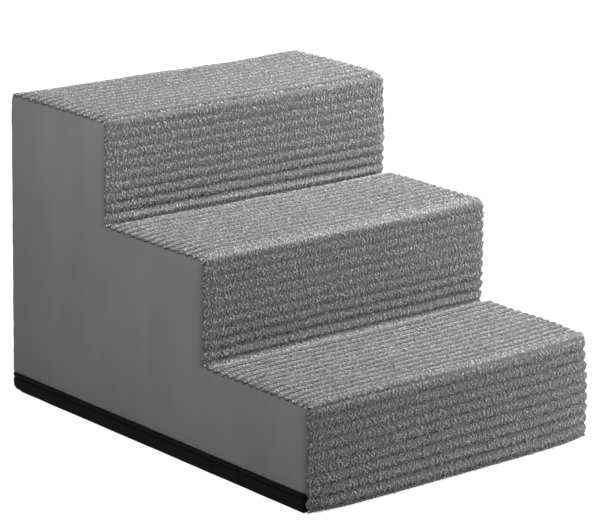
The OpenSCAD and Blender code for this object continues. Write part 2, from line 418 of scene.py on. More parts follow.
def attribute(flow, name):
    """A number that the mesh itself carries."""
    return flow.node("ShaderNodeAttribute", attribute_name=name).output("Fac")


# %% [markdown]
# ### Plush
#
# The plush is a short pile, cut in ribs. Its colour is one grey, and what the eye sees as a speckle
# is light on the tips of the tufts and shade between them. The tufts are real geometry, and the
# shader adds what is finer: single fibres and a tone for each tuft, and also painted light and
# shade: lighter tips, a darker ground, darker grooves and thin painted highlight lines.

# %% Plush finishes
PLUSH_BRIGHTNESS = 0.475
# The ground cloth between the tufts is painted darker, as the shade deep in the pile: its brightness as a share of the
# pile's
GROUND_SHADE_SHARE = 0.38
# How much the painted shade darkens a groove, and how much the thin painted highlight lines lighten the pile
GROOVE_SHADE_SHARE = 0.42
PAINTED_LINE_LIGHT_SHARE = 0.5
# Tufts are painted lighter towards their tips and darker at their sunk ends, as light on top of the pile and shade
# deep in it
TIP_LIGHT_SHARE = 0.38


def groove_shade(flow):
    """Painted shade and light: 1 on the ribs, darker in the grooves between them, and lighter along the thin painted
    highlight lines.
    """
    groove = attribute(flow, "groove")
    return 1 - GROOVE_SHADE_SHARE * groove.ramp(0.15, 0.9) + PAINTED_LINE_LIGHT_SHARE * (-groove).ramp(0.1, 1.0)


def paint_ground(flow, place):
    patches = noise(flow, place, 22 * MM)
    fibres = noise(flow, place, 1.1 * MM, detail=3.0)
    # Painted shade: the ground between the tufts is darker than the pile, and follows the painted shade and light of
    # the ribs
    brightness = PLUSH_BRIGHTNESS * GROUND_SHADE_SHARE * varied(0.2, patches) * varied(0.6, fibres)
    return brightness * groove_shade(flow), 0.95, fibres, 0.8 * MM


def paint_pile(flow, place):
    fibres = noise(flow, place, 0.5 * MM)
    # Painted light on the tips of the tufts and painted shade at their sunk ends
    tip_light = 0.68 + TIP_LIGHT_SHARE * attribute(flow, "tip")
    brightness = PLUSH_BRIGHTNESS * varied(0.42, attribute(flow, "tone")) * varied(0.28, fibres) * tip_light
    return brightness * groove_shade(flow), 0.9, fibres, 0.25 * MM


plush_ground = finish("plush_ground", paint_ground, Specular_IOR_Level=0.1)
plush_pile = finish("plush_pile", paint_pile, Specular_IOR_Level=0.15, Sheen_Weight=0.1, Sheen_Roughness=0.5)

# %% [markdown]
# ### Suede cloth, non-slip cloth and foam
#
# The plain panels are a brushed suede cloth: almost smooth, with a fine grain and faint clouds where
# the nap lies differently. The base cloth and the tapes are black and woven. The foam is cream, with
# open cells.

# %% Cloth and foam finishes
PANEL_BRIGHTNESS = 0.226
# The suede is painted darker beside a seam, as the shade where it rolls down under the plush
SEAM_SHADE_SHARE = 0.35
BLACK_BRIGHTNESS = 0.003
FOAM_TINT = (1.0, 0.94, 0.78)


def paint_suede(flow, place):
    clouds = noise(flow, stretched(flow, place, 1, 1, 0.35), 45 * MM)
    grain = noise(flow, place, 0.9 * MM, detail=3.0, roughness=0.65)
    bands = noise(flow, stretched(flow, place, 1, 1, 0.06), 11 * MM)
    # Painted shade beside the seams
    seam_shade = 1 - SEAM_SHADE_SHARE * attribute(flow, "seam")
    brightness = PANEL_BRIGHTNESS * varied(0.3, clouds) * varied(0.12, bands) * varied(0.3, grain) * seam_shade
    return brightness, 0.85 + 0.1 * grain, grain, 0.12 * MM


def weave(place, pitch):
    """The height of a plain weave, from two rows of waves."""
    turns = 2 * math.pi / pitch
    x, y, z = place.parts()
    return ((x + y) * turns).math("SINE") * ((z + y) * turns).math("COSINE") * 0.5 + 0.5


def paint_black_cloth(flow, place):
    threads = weave(place, 1.1 * MM)
    dust = noise(flow, place, 9 * MM)
    brightness = BLACK_BRIGHTNESS * varied(0.5, threads) * varied(0.4, dust)
    return brightness, 0.72 + 0.15 * threads, threads, 0.25 * MM


def paint_foam(flow, place):
    cells = flow.node("ShaderNodeTexVoronoi", {"Vector": place, "Scale": 1 / (1.6 * MM)})
    stain = noise(flow, place, 60 * MM)
    # The pores are painted darker, as the shade inside the open cells
    pore = cells.ramp(0.15, 0.5)
    return (0.72 + 0.12 * stain) * (0.75 + 0.25 * pore), 0.9, pore, 0.4 * MM


suede = finish("suede_cloth", paint_suede, Specular_IOR_Level=0.2, Sheen_Weight=0.15, Sheen_Roughness=0.4)
black_cloth = finish("black_cloth", paint_black_cloth, Specular_IOR_Level=0.06)
foam = finish("cut_foam", paint_foam, FOAM_TINT)

# %% [markdown]
# ### Zipper finishes
#
# The band at the foot is all black, so it is told apart by texture: a fine twill on the tapes, smooth
# nylon teeth and an enamelled slider with rubbed edges.

# %% Zipper finishes
NYLON_BRIGHTNESS = 0.014
ENAMEL_BRIGHTNESS = 0.018
RUBBER_BRIGHTNESS = 0.02


def paint_tape(flow, place):
    threads = weave(place, 0.7 * MM)
    fluff = noise(flow, place, 4 * MM, detail=3.0)
    return BLACK_BRIGHTNESS * (0.8 + 0.5 * threads) * varied(0.4, fluff), 0.8, threads, 0.12 * MM


def paint_nylon(flow, place):
    haze = noise(flow, place, 5 * MM)
    grain = noise(flow, place, 0.5 * MM)
    return NYLON_BRIGHTNESS * varied(0.4, haze), 0.35 + 0.2 * haze, grain, 0.03 * MM


def paint_enamel(flow, place):
    rubbed = noise(flow, place, 2.5 * MM, detail=4.0).ramp(0.55, 0.75)
    scratches = noise(flow, stretched(flow, place, 3, 0.4, 3), 0.8 * MM, detail=3.0)
    return ENAMEL_BRIGHTNESS + 0.03 * rubbed, 0.28 + 0.2 * scratches, scratches, 0.02 * MM


def paint_rubber(flow, place):
    bloom = noise(flow, place, 7 * MM)
    grain = noise(flow, place, 0.6 * MM)
    return RUBBER_BRIGHTNESS * (0.8 + 0.5 * bloom), 0.6 + 0.2 * grain, grain, 0.05 * MM


tape_weave = finish("tape_twill", paint_tape, Specular_IOR_Level=0.06)
nylon = finish("black_nylon", paint_nylon)
enamel = finish("black_enamel", paint_enamel, Coat_Weight=0.3)
rubber = finish("anti_slip_rubber", paint_rubber)

# %% [markdown]
# ## The ribbed covers
#
# A cover is one strip of plush, pulled up the riser, over the nosing and back along the tread. Its
# shape follows a rule, so a geometry tree makes it: a flat grid is laid along that path, a rib at a
# time. One direction of the grid runs across the stairs, and the other counts ribs from the one on
# the nosing, so that the grid's lines fall on the grooves and keep them sharp.
#
# At its edges the strip rolls down to the seams, where the grid meets its own underside.

# %% Habits of the ribbed cloth
# The ribs wander along the cloth and puff up a little, more in some places than in others
WANDER = 0.9 * MM
WANDER_SIZE = 30 * MM
PUFF = 0.7 * MM
PUFF_SIZE = 55 * MM
# The sewn ends of the strip stay in place over this length, and the end at the back rolls down
HELD_LENGTH = 8 * MM
END_ROLL = 3 * MM
TAIL_EDGE = (-0.5 * MM, 1.5 * MM)
# A rib is flat on top and steep at its grooves on a riser, and rounder and deeper on a tread
TREAD_SQUARENESS = 1.9
TREAD_DEEPENING = 1.3
# The groove under the nosing fades out by this share from the first place across to the second
TOP_GROOVE_FADE_SHARE = 0.8
TOP_GROOVE_FADE = (-90 * MM, 20 * MM)
# The ribs of an upper riser are clear below the first of these heights and faint above the second
CLEAR_ABOVE_FOOT = (12 * MM, 52 * MM)
# The underside rises to the seam between these distances from it
UNDERSIDE_RISE = (-18 * MM, -10 * MM)
BELLY_SQUARENESS = 6

# %% Crown, lobes and drawn-in seams
# A tread rounds over towards its left side and stands a little proud towards its right one
TREAD_CROWN = 2 * MM
TREAD_ROUNDING = 28 * MM
FAR_SWELL = 3 * MM
FAR_SWELL_SPAN = (40 * MM, 170 * MM)
SETTLED_SPAN = (4 * MM, 24 * MM)
# Each rib ends in a lobe that hangs over the seam, and each groove is pinched in
LOBE = 2.5 * MM
LOBE_DROP_SHARE = 0.4
PINCH = 2.3 * MM
LEFT_LOBE_SHARE = 0.6
FOLD_LOBE_LOSS = 2.8
# The left seams are drawn in, and so are the right corners of the nosings
LEFT_INSET = 2 * MM
LEFT_INSET_REACH = 40 * MM
CORNER_DRAWS = [4.8 * MM, 1.3 * MM, 2.8 * MM]
DRAWN_SPAN = (60 * MM, 175 * MM)
DRAWN_BACK_SHARE = 1 / 3
FOLD_REACH = 35 * MM

# %% Light and shade between the ribs
# A tread's grooves are shaded wider, because it is seen from low in front
TREAD_SHADING = 2.3
# Seen from a little above, a rib's upper slope catches the light and its lower one doesn't
UPPER_SLOPE_LIGHT_SHARE = 0.5
UPPER_SLOPE = (0.02, 0.12)
# Thin highlight lines are painted along the fold of the nosing and on both sides of an inner corner, and painted light
# lifts the shade at the foot of an upper riser
LINE_WIDTH = 1.0 * MM
FOLD_LINE = 0.6 * MM
FOOT_LINE = 9 * MM
END_LINE = 12.5 * MM
FOOT_LIGHT_SHARE = 0.8
FOOT_LIGHT_SPAN = (2 * MM, 6 * MM)


# %% Helpers for the path
def blend(start, end, share):
    return start + (end - start) * share


def bell(distance):
    """1 at distance 0, fading to 0 on both sides of it."""
    return (-(distance * distance)).math("EXPONENT")


def strip_distance(given, rib):
    """Distance along the cloth from the middle of the nosing, for a place counted in ribs."""
    down = rib.clamp(-100.0, 0.0) * given["Riser Pitch"]
    over = rib.clamp() * (given["First Tread Crest"] - given["Nosing Crest"])
    along = (rib - 1).clamp(0.0, 100.0) * given["Tread Pitch"]
    return given["Nosing Crest"] + down + over + along


def rib_clearness(given, rib):
    """How clearly a rib stands out: fully on a tread and at the foot of a riser, and less further up."""
    from_foot = strip_distance(given, rib) - strip_distance(given, given["Lowest Rib"])
    clear = (1 - from_foot.ramp(*CLEAR_ABOVE_FOOT)).math("MAXIMUM", rib.ramp(-0.2, 0.6))
    return blend(given["Upper Relief"], 1, clear)


def rolled(radius, thickness, distance):
    """Depth of a roll that ends at distance zero, at the full thickness of the cloth."""
    share = 1 - (distance / radius).clamp()
    return thickness * (1 - (1 - share * share).math("SQRT"))


def painted_light_lines(given, distance, from_foot, from_end):
    """1 along the thin painted highlight lines and on the painted light at the foot of an upper riser."""
    lit_foot = FOOT_LIGHT_SHARE * (1 - from_foot.ramp(*FOOT_LIGHT_SPAN))
    foot = bell((from_foot - FOOT_LINE) / LINE_WIDTH) + lit_foot
    end = bell((from_end - END_LINE) / LINE_WIDTH)
    fold = bell((distance - FOLD_LINE) / LINE_WIDTH)
    return (fold + given["Foot Line"] * foot + given["End Line"] * end).clamp()


# %% The path of the cloth
def laid_cloth(flow, given, across, rib, lift):
    """Place, underside, outward direction and painted shade of the cloth, across it and by ribs along it. The shade
    comes from the groove share, and it is below zero on the painted highlight lines.
    """
    spot = flow.vector(across, rib * given["Riser Pitch"], given["Seed"])
    drift = noise(flow, spot, WANDER_SIZE, detail=1.0) - 0.5
    swell = noise(flow, stretched(flow, spot, 1, 1, 3), PUFF_SIZE, detail=0.0) - 0.5
    even = strip_distance(given, rib)
    from_foot = even - strip_distance(given, given["Lowest Rib"])
    from_end = strip_distance(given, given["Last Rib"]) - even
    held = from_foot.ramp(0.0, HELD_LENGTH) * from_end.ramp(0.0, HELD_LENGTH)
    distance = even + 2 * WANDER * drift * held
    half_arc = given["Nosing Radius"] * (math.pi / 4)
    turn = (math.pi / 4 + distance / given["Nosing Radius"]).clamp(0.0, math.pi / 2)
    facing_y = -turn.math("COSINE")
    facing_z = turn.math("SINE")

    # Depth below the crests: the rib itself, then the rolls at the foot and the far end
    phase = rib - round(rib)
    squareness = blend(given["Riser Squareness"], TREAD_SQUARENESS, facing_z)
    groove = (2 * abs(phase)) ** squareness * rib_clearness(given, rib)
    topmost = rib.ramp(-1.05, -0.95) * (1 - rib.ramp(-0.05, 0.05))
    groove = groove * (1 - TOP_GROOVE_FADE_SHARE * topmost * across.ramp(*TOP_GROOVE_FADE))
    rib_depth = given["Relief"] * blend(1, TREAD_DEEPENING, facing_z) * groove
    foot_roll = rolled(given["Foot Roll"], given["Thickness"], from_foot)
    end_roll = rolled(END_ROLL, given["Thickness"], from_end)
    lowered = given["Relief"] * (1 - (from_end - given["Tail"]).ramp(*TAIL_EDGE))
    depth = (rib_depth.math("MAXIMUM", lowered) + foot_roll + end_roll).math("MINIMUM", given["Thickness"])
    fullness = 1 - depth / given["Thickness"]

    # Across the strip the crests fall along a quarter of an ellipse to each side seam, and the
    # underside rises to meet them there
    side_roll = blend(given["Riser Side Roll"], given["Tread Side Roll"], facing_z)
    width = abs(across)
    sign = across.math("SIGN")
    side = ((width - given["Half Width"]) / side_roll + 1).clamp()
    upright = (1 - side * side).math("SQRT")
    lean = side * given["Seam Depth"] / side_roll
    reach = (lean * lean + upright * upright).math("SQRT")
    seam_height = given["Thickness"] - given["Seam Depth"]
    under_height = seam_height * (width - given["Half Width"]).ramp(*UNDERSIDE_RISE)

    # The lowest riser bellies out at its foot, and the treads are crowned
    middle = 1 - (width / given["Half Width"]) ** BELLY_SQUARENESS
    belly = given["Belly"] * middle * (-(from_foot / given["Belly Reach"])).math("EXPONENT")
    edge = 1 - (across + given["Half Width"]).ramp(0.0, TREAD_ROUNDING)
    crown = TREAD_CROWN * (1 - edge * edge) + FAR_SWELL * across.ramp(*FAR_SWELL_SPAN)
    settled = from_end.ramp(*SETTLED_SPAN)
    swollen = crown * facing_z * facing_z * settled * settled * (3 - 2 * settled)
    body = seam_height + given["Seam Depth"] * upright - under_height
    rise = under_height + (body + (2 * PUFF * swell + lift + belly) * upright) * fullness

    # Lobes and pinches at the side seams, and the corners that are drawn in
    folded = (facing_y * facing_z) ** 2
    near_seam = side ** 4 * held * blend(LEFT_LOBE_SHARE, 1, 0.5 + 0.5 * sign) * (1 - FOLD_LOBE_LOSS * folded)
    lobe = LOBE * near_seam * (1 - 4 * phase * phase)
    pinch = PINCH * near_seam * groove
    inset = LEFT_INSET * (1 - (across + given["Half Width"]).ramp(0.0, LEFT_INSET_REACH))
    drawn = given["Corner Draw"] * bell(distance / FOLD_REACH) * across.ramp(*DRAWN_SPAN) ** 2

    x = across + sign * (lobe - pinch) + inset - drawn
    y = given["Front"] + given["Nosing Radius"] * (1 + facing_y) + (distance - half_arc).clamp()
    y = y + DRAWN_BACK_SHARE * drawn
    z = given["Top"] - given["Nosing Radius"] * (1 - facing_z) + (distance + half_arc).clamp(-1.0, 0.0)
    sunk = LOBE_DROP_SHARE * lobe + given["Thickness"]
    outer = rise - sunk
    inner = under_height - sunk
    place = flow.vector(x, y + facing_y * outer, z + facing_z * outer + swollen * upright * fullness)
    under = flow.vector(x, y + facing_y * inner, z + facing_z * inner)
    facing = flow.vector(sign * lean / reach, facing_y * upright / reach, facing_z * upright / reach)

    # The last value is painted shade and light: the groove share, painted darker wider on a tread, painted lighter on
    # a riser rib's upper slope, and below zero on the painted highlight lines
    lit = UPPER_SLOPE_LIGHT_SHARE * phase.ramp(*UPPER_SLOPE) * (1 - facing_z)
    shaded = groove * blend(1, TREAD_SHADING, facing_z) * (1 - lit)
    painted_lines = painted_light_lines(given, distance, from_foot, from_end)
    return place, under, facing, shaded * (1 - painted_lines) - painted_lines


# %% The tree of a cover
CELLS_PER_RIB = 8
CELL_ACROSS = 1.5 * MM
CLUMP = 0.35 * MM
CLUMP_SIZE = 2.6 * MM


def cover_tree(values):
    flow, given, close = geometry_tree("ribbed_cover", values)
    ribs = given["Last Rib"] - given["Lowest Rib"]
    grid = flow.node("GeometryNodeMeshGrid", {
        "Size X": 2 * given["Half Width"], "Size Y": ribs,
        "Vertices X": 2 * given["Half Width"] / CELL_ACROSS, "Vertices Y": ribs * CELLS_PER_RIB + 1,
    })
    across, along, _ = flow.node("GeometryNodeInputPosition").parts()
    rib = along + (given["Last Rib"] + given["Lowest Rib"]) * 0.5
    crumb = flow.vector(across, rib * given["Riser Pitch"] * 0.6, given["Seed"] + 5)
    clump = (noise(flow, crumb, CLUMP_SIZE, detail=1.0) - 0.5) * 4 * CLUMP
    place, under, _, groove = laid_cloth(flow, given, across, rib, clump)
    # The groove attribute carries the painted shade of the grooves and the painted highlight lines, for the finish
    marked = grid.stored("groove", groove)
    inner = flow.node("GeometryNodeFlipFaces", {"Mesh": marked.moved(under)})
    both = flow.node("GeometryNodeJoinGeometry", {"Geometry": [marked.moved(place), inner]})
    closed = flow.node("GeometryNodeMergeByDistance", {"Geometry": both, "Distance": 0.02 * MM})
    return close(closed.smooth())


# %% [markdown]
# The three covers share that tree. The number of ribs on a riser and on a tread differs a little
# from step to step, because each strip was cut and stretched by hand, and the rib on the nosing is
# pulled wider than the rest. At the risers the cloth rounds off well before the side seam, and at the
# treads the ribs end in short round lobes. The lowest riser bellies out a little at its foot.

# %% Making the covers
# Per step: riser pitch, crest on the nosing, first crest on the tread, tread pitch, all in mm
RIB_LAYOUT = [(10.5, 3.65, 12.4, 9.98), (10.0, 7.9, 16.6, 10.25), (10.0, -4.0, 11.6, 11.03)]
FOOT_TUCK = 2.9 * MM
TAIL = 4.5 * MM
# What only the lowest step has, and what the steps above it have
LOWEST_STEP = {
    "Foot Roll": 1.0 * MM, "Riser Squareness": 3.0, "Upper Relief": 1.0, "Belly": 10 * MM,
    "Belly Reach": 35 * MM, "Foot Line": 0.0,
}
UPPER_STEP = {
    "Foot Roll": 3.0 * MM, "Riser Squareness": 2.0, "Upper Relief": 0.35, "Belly": 5 * MM,
    "Belly Reach": 8 * MM, "Foot Line": 1.0,
}


def step_values(number):
    """The inputs of one step's cover."""
    riser_pitch, nosing_crest, first_crest, tread_pitch = (v * MM for v in RIB_LAYOUT[number])
    half_arc = NOSING_R * math.pi / 4
    last = number == len(COVERS) - 1
    foot = tops[number] - riser_h - (FOOT_TUCK if number else 0)
    lowest = (foot - tops[number] + NOSING_R - half_arc - nosing_crest) / riser_pitch
    end = seam_back if last else fronts[number + 1] + TAIL
    far = (end - fronts[number] - NOSING_R + half_arc - first_crest) / tread_pitch + 1
    return {
        **(UPPER_STEP if number else LOWEST_STEP),
        "Front": fronts[number], "Top": tops[number], "Nosing Radius": NOSING_R,
        "Half Width": seam_x, "Thickness": COVER_T, "Relief": RIB_RELIEF,
        "Riser Pitch": riser_pitch, "Nosing Crest": nosing_crest,
        "First Tread Crest": first_crest, "Tread Pitch": tread_pitch,
        "Lowest Rib": lowest, "Last Rib": far, "Tail": -1.0 if last else TAIL,
        "Riser Side Roll": 20 * MM, "Tread Side Roll": 6 * MM, "Seam Depth": SEAM_DEPTH,
        "End Line": 0.0 if last else 1.0, "Corner Draw": CORNER_DRAWS[number],
        "Seed": number + 1.0, "Material": plush_ground,
    }


covers = []
tree = cover_tree(step_values(0))
for number, node in enumerate(COVERS):
    covers.append(grow("plush_" + node, tree, step_values(number)))
    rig.replaces(covers[number], node)
    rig.slot(covers[number], "ribbed_plush")
    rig.ride(covers[number], "stairs")

# %% [markdown]
# ## The pile
#
# Plush is a forest of short tufts. Noise on the ground cloth can't throw their small shadows, so each
# tuft is modelled: a bent three-sided tube with 14 faces, sunk at both ends. A second tree walks the
# same path as the covers, sets rows of tufts on each rib, and turns each one a little differently.
# On a tread the tufts lie along the crests, which draws the ribs as lines at a low view.
# A tone and the painted shade of its place are stored on each tuft, and a height on each of its points, which the
# finish uses to paint the tips lighter.

# %% One tuft
TUFT_VALUES = {
    "Spacing": 2.5 * MM, "Rows": 4.0, "Tuft Length": 3.8 * MM, "Tuft Height": 1.5 * MM,
    "Tuft Radius": 0.54 * MM, "Foot Margin": 1.8 * MM, "Material": plush_pile,
}
TUFT_TURN = math.radians(55)
TUFT_LEAN = math.radians(22)
# Girth at a tuft's ends, sideways bend and sinking, as shares of its girth, length and girth
END_GIRTH_SHARE = 0.35
BEND_SHARE = 0.35
SUNK_SHARE = 0.6


def random_value(flow, low, high, seed):
    """A random number for each point."""
    return flow.node("FunctionNodeRandomValue", {2: low, 3: high, "Seed": seed}, out=1, data_type="FLOAT")


def tuft(flow, given):
    """One tuft, arched along X, with its highest point over the origin."""
    tube = flow.node("GeometryNodeMeshCylinder", {
        "Vertices": 3, "Side Segments": 2, "Radius": 1.0, "Depth": 1.0,
    }, fill_type="NGON")
    sideways, upward, share = flow.node("GeometryNodeInputPosition").parts()
    arch = 1 - 4 * share * share
    girth = given["Tuft Radius"] * blend(END_GIRTH_SHARE, 1, arch)
    bent = flow.vector(
        share * given["Tuft Length"],
        sideways * girth + given["Tuft Length"] * BEND_SHARE * share * share,
        upward * girth + arch * given["Tuft Height"] - given["Tuft Radius"] * SUNK_SHARE,
    )
    return tube.stored("tip", arch).moved(bent).smooth()


# %% How a tuft stands
def standing(flow, upward, along):
    """A rotation that turns Z upward and X along."""
    sockets = {"Primary Axis": upward, "Secondary Axis": along}
    return flow.node("FunctionNodeAxesToRotation", sockets, primary_axis="Z", secondary_axis="X")


def tuft_rotation(flow, given, rib, facing, on_tread):
    """A tuft leans on its rib's slope. It lies across a riser's rib and along a tread's."""
    phase = rib - round(rib)
    steep = (2 * abs(phase)) ** (TREAD_SQUARENESS - 1)
    slope = phase.math("SIGN") * steep * given["Relief"] * (2 * TREAD_SQUARENESS) / given["Riser Pitch"]
    along = flow.node("ShaderNodeVectorMath", {0: facing, 1: (1, 0, 0)}, operation="CROSS_PRODUCT")
    tilt = flow.node("ShaderNodeVectorMath", {0: along, "Scale": slope}, operation="SCALE")
    normal = flow.node("ShaderNodeVectorMath", {0: facing, 1: tilt}, operation="ADD")
    turned = random_value(flow, -TUFT_TURN, TUFT_TURN, 5) * (1 - 0.3 * on_tread) + math.pi / 2 * on_tread
    leans = [random_value(flow, -TUFT_LEAN, TUFT_LEAN, seed) for seed in (3, 4)]
    turn = flow.node("FunctionNodeEulerToRotation", {"Euler": flow.vector(*leans, turned)})
    sockets = {"Rotation": standing(flow, normal, along), "Rotate By": turn}
    return flow.node("FunctionNodeRotateRotation", sockets, rotation_space="LOCAL")


# %% The tree of the pile
# How far the rows of tufts spread over a rib, as shares of its width
RISER_SPREAD_SHARE = 0.82
TREAD_SPREAD_SHARE = 0.62
# Length, girth and height of a tread's tufts, as shares of a riser's
TREAD_TUFT_SHARES = [0.9, 0.95, 0.55]
# How much more the tufts of a tread differ in tone
TREAD_SPECKLE = 1.0
# The riser's pile goes over into the tread's between these ribs
TREAD_START = (0.3, 0.8)
# How far a tuft is moved from its place in the rows, in steps, and how much the sizes differ
ACROSS_SCATTER = 0.5
ALONG_SCATTER = 0.4
TUFT_SIZES = (0.65, 1.25)
LOWEST_PILE = 0.2 * MM


def pile_tree(values):
    flow, given, close = geometry_tree("plush_pile", values)
    width = 2 * given["Half Width"] - given["Spacing"]
    lowest = given["Lowest Rib"] + given["Foot Margin"] / given["Riser Pitch"]
    ribs = given["Last Rib"] - lowest
    grid = flow.node("GeometryNodeMeshGrid", {
        "Size X": width, "Size Y": ribs - 1 / given["Rows"],
        "Vertices X": width / given["Spacing"] + 1, "Vertices Y": ribs * given["Rows"],
    })
    x, y, _ = flow.node("GeometryNodeInputPosition").parts()
    across = x + random_value(flow, -ACROSS_SCATTER, ACROSS_SCATTER, 1) * given["Spacing"]
    even = y + (given["Last Rib"] + lowest) * 0.5
    on_tread = even.ramp(*TREAD_START)
    scatter = random_value(flow, -ALONG_SCATTER, ALONG_SCATTER, 2) / given["Rows"]
    counted = even + scatter * (1 - 0.5 * on_tread)
    crest = round(counted)
    gap = blend(1 - RISER_SPREAD_SHARE, 1 - TREAD_SPREAD_SHARE, on_tread)
    rib = crest + (counted - crest) * (1 - gap * rib_clearness(given, crest))
    place, _, facing, groove = laid_cloth(flow, given, across, rib, 0.0)
    tone = 0.5 + random_value(flow, -0.5, 0.5, 6) * (1 + TREAD_SPECKLE * on_tread)
    size = random_value(flow, *TUFT_SIZES, 7)
    # The groove attribute carries the painted shade of the grooves and the painted highlight lines, for the finish
    tufts = flow.node("GeometryNodeInstanceOnPoints", {
        "Points": grid.stored("tone", tone).stored("groove", groove), "Instance": tuft(flow, given),
        "Rotation": tuft_rotation(flow, given, rib, facing, on_tread),
        "Scale": flow.vector(*(size * blend(1, share, on_tread) for share in TREAD_TUFT_SHARES)),
    })
    solid = flow.node("GeometryNodeRealizeInstances", {"Geometry": tufts.moved(place)})
    # What would reach below the floor is pressed flat on it
    x, y, z = flow.node("GeometryNodeInputPosition").parts()
    return close(solid.moved(flow.vector(x, y, z.math("MAXIMUM", LOWEST_PILE))))


# %% Growing the pile
tree = pile_tree({**step_values(0), **TUFT_VALUES})
for number, node in enumerate(COVERS):
    pile = grow(node.replace("step_cover", "pile"), tree, {**step_values(number), **TUFT_VALUES})
    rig.slot(pile, "ribbed_plush")
    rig.ride(pile, "stairs")
    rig.sheet(
        covers[number], flat=(2 * seam_x, riser_h + tread_d), held="stretched",
        rests_on=[FOAM_BLOCKS[number]], with_pieces=[pile],
    )

# %% [markdown]
# ## Side and back panels
#
# The panels are plain suede cloth, sewn to the plush along the steps. Tight cloth over foam is nearly
# flat: it swells a little in the middle, rolls down over a few millimetres to its seams, and puckers
# where the stitches pull. That is one height for each point of a stepped grid, worked out from the
# point's distance to the nearest seam, with the grid's lines close together beside the seams.

# %% A closed shell over a grid
# Run of the painted shade beside the seams
SEAM_SHADE_RUN = 5 * MM
PANEL_CELL = 3 * MM
SEAM_LINES = [0.0, 0.4 * MM, 1 * MM, 1.8 * MM, 3 * MM, 4.6 * MM, 6.8 * MM, 9.6 * MM]


def grid_lines(edges):
    """Lines from edge to edge, close together beside each edge."""
    lines = []
    for low, high in zip(edges, edges[1:]):
        near = [low + gap for gap in SEAM_LINES]
        far = [high - gap for gap in reversed(SEAM_LINES[1:])]
        count = math.ceil((far[0] - near[-1]) / PANEL_CELL)
        between = [near[-1] + (far[0] - near[-1]) * i / count for i in range(1, count)]
        lines += near + between + far
    return lines + [edges[-1]]


def new_piece(name, points, faces, material):
    """A smooth-shaded mesh object whose faces all look outwards."""
    mesh = bpy.data.meshes.new(name)
    mesh.from_pydata(points, [], faces)
    work = bmesh.new()
    work.from_mesh(mesh)
    bmesh.ops.recalc_face_normals(work, faces=work.faces)
    work.to_mesh(mesh)
    work.free()
    mesh.polygons.foreach_set("use_smooth", [True] * len(mesh.polygons))
    mesh.materials.append(material)
    piece = add_object(name, mesh)
    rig.ride(piece, "stairs")
    print_triangles(piece)
    return piece


def shell(name, spots, cells, outer, inner, seam):
    """A closed suede piece: outer and inner surfaces over the same cells, with walls at the open edges.
    seam gives a spot's distance to the sewn seams."""
    count = len(spots)
    sides = {side for cell in cells for side in zip(cell, cell[1:] + cell[:1])}
    walls = [(b, a, a + count, b + count) for a, b in sides if (b, a) not in sides]
    backs = [tuple(i + count for i in reversed(cell)) for cell in cells]
    points = [outer(*spot) for spot in spots] + [inner(*spot) for spot in spots]
    piece = new_piece(name, points, cells + backs + walls, suede)
    # Each point carries how much painted shade its seam puts on the suede
    seam_shade = piece.data.attributes.new("seam", "FLOAT", "POINT")
    seam_shade.data.foreach_set("value", [math.exp(-seam(*spot) / SEAM_SHADE_RUN) for spot in spots] * 2)
    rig.slot(piece, "plain_panel")
    return piece


# %% The height of a panel
PANEL_CROWN = 1.2 * MM
CROWN_RUN = 18 * MM
LEAST_HEIGHT = 0.8 * MM
# Height, size and run of the slack in the middle and of the puckers beside the seams
SLACK, SLACK_SIZE, SLACK_RUN = 0.7 * MM, 95 * MM, 20 * MM
PUCKER, PUCKER_SIZE, PUCKER_RUN = 0.45 * MM, 11 * MM, 7 * MM
# Run and sink of each roll: at the steps' seams, at the upright corners and along the foot
SIDE_SEAM = (9 * MM, 3.5 * MM)
SIDE_CORNER = (3.5 * MM, 2.8 * MM)
BACK_SEAM = (9 * MM, 2.5 * MM)
BACK_CORNER = (3.5 * MM, 1.5 * MM)
FOOT_EDGE = (3 * MM, 0.6 * MM)


def noise_at(spot, size):
    """Smooth noise from -1 to 1 at a place."""
    return perlin(Vector(spot) / size)


def soft_least(distances):
    """Least of some distances, rounded where two are alike, so that no crease runs in from a corner."""
    if min(distances) <= 0:
        return 0.0
    return sum(d ** -6 for d in distances) ** (-1 / 6)


def roll_depth(distance, run, sink):
    """How far the cloth lies below its full height beside a seam."""
    share = 1 - min(max(distance / run, 0.0), 1.0)
    return sink * (1 - math.sqrt(1 - share * share))


def panel_height(spot, seam, corner, foot, seam_roll, corner_roll):
    """Height over the foam, from the distances to the steps' seams, the upright corner and the foot."""
    nearest = soft_least([seam, corner, foot])
    swell = PANEL_CROWN * (1 - math.exp(-nearest / CROWN_RUN))
    slack = SLACK * noise_at(spot, SLACK_SIZE) * min(nearest / SLACK_RUN, 1.0)
    pucker = PUCKER * noise_at(spot, PUCKER_SIZE) * math.exp(-nearest / PUCKER_RUN)
    rolls = roll_depth(seam, *seam_roll) + roll_depth(corner, *corner_roll) + roll_depth(foot, *FOOT_EDGE)
    return PANEL_SEAM_T + swell + slack + pucker - min(rolls, PANEL_SEAM_T - LEAST_HEIGHT)


# %% The stepped outline
step_fronts = [y + SEAM_DEPTH for y in fronts] + [seam_back]
step_tops = [band_top] + [z - SEAM_DEPTH for z in tops]


def seam_distance(y, z):
    """How far a point of a side panel lies from the seams along the steps."""
    inner_corners = [
        math.hypot(max(0.0, y - step_fronts[k]), max(0.0, step_tops[k] - z)) for k in range(1, len(COVERS))
    ]
    return soft_least([y - step_fronts[0], step_tops[-1] - z, *inner_corners])


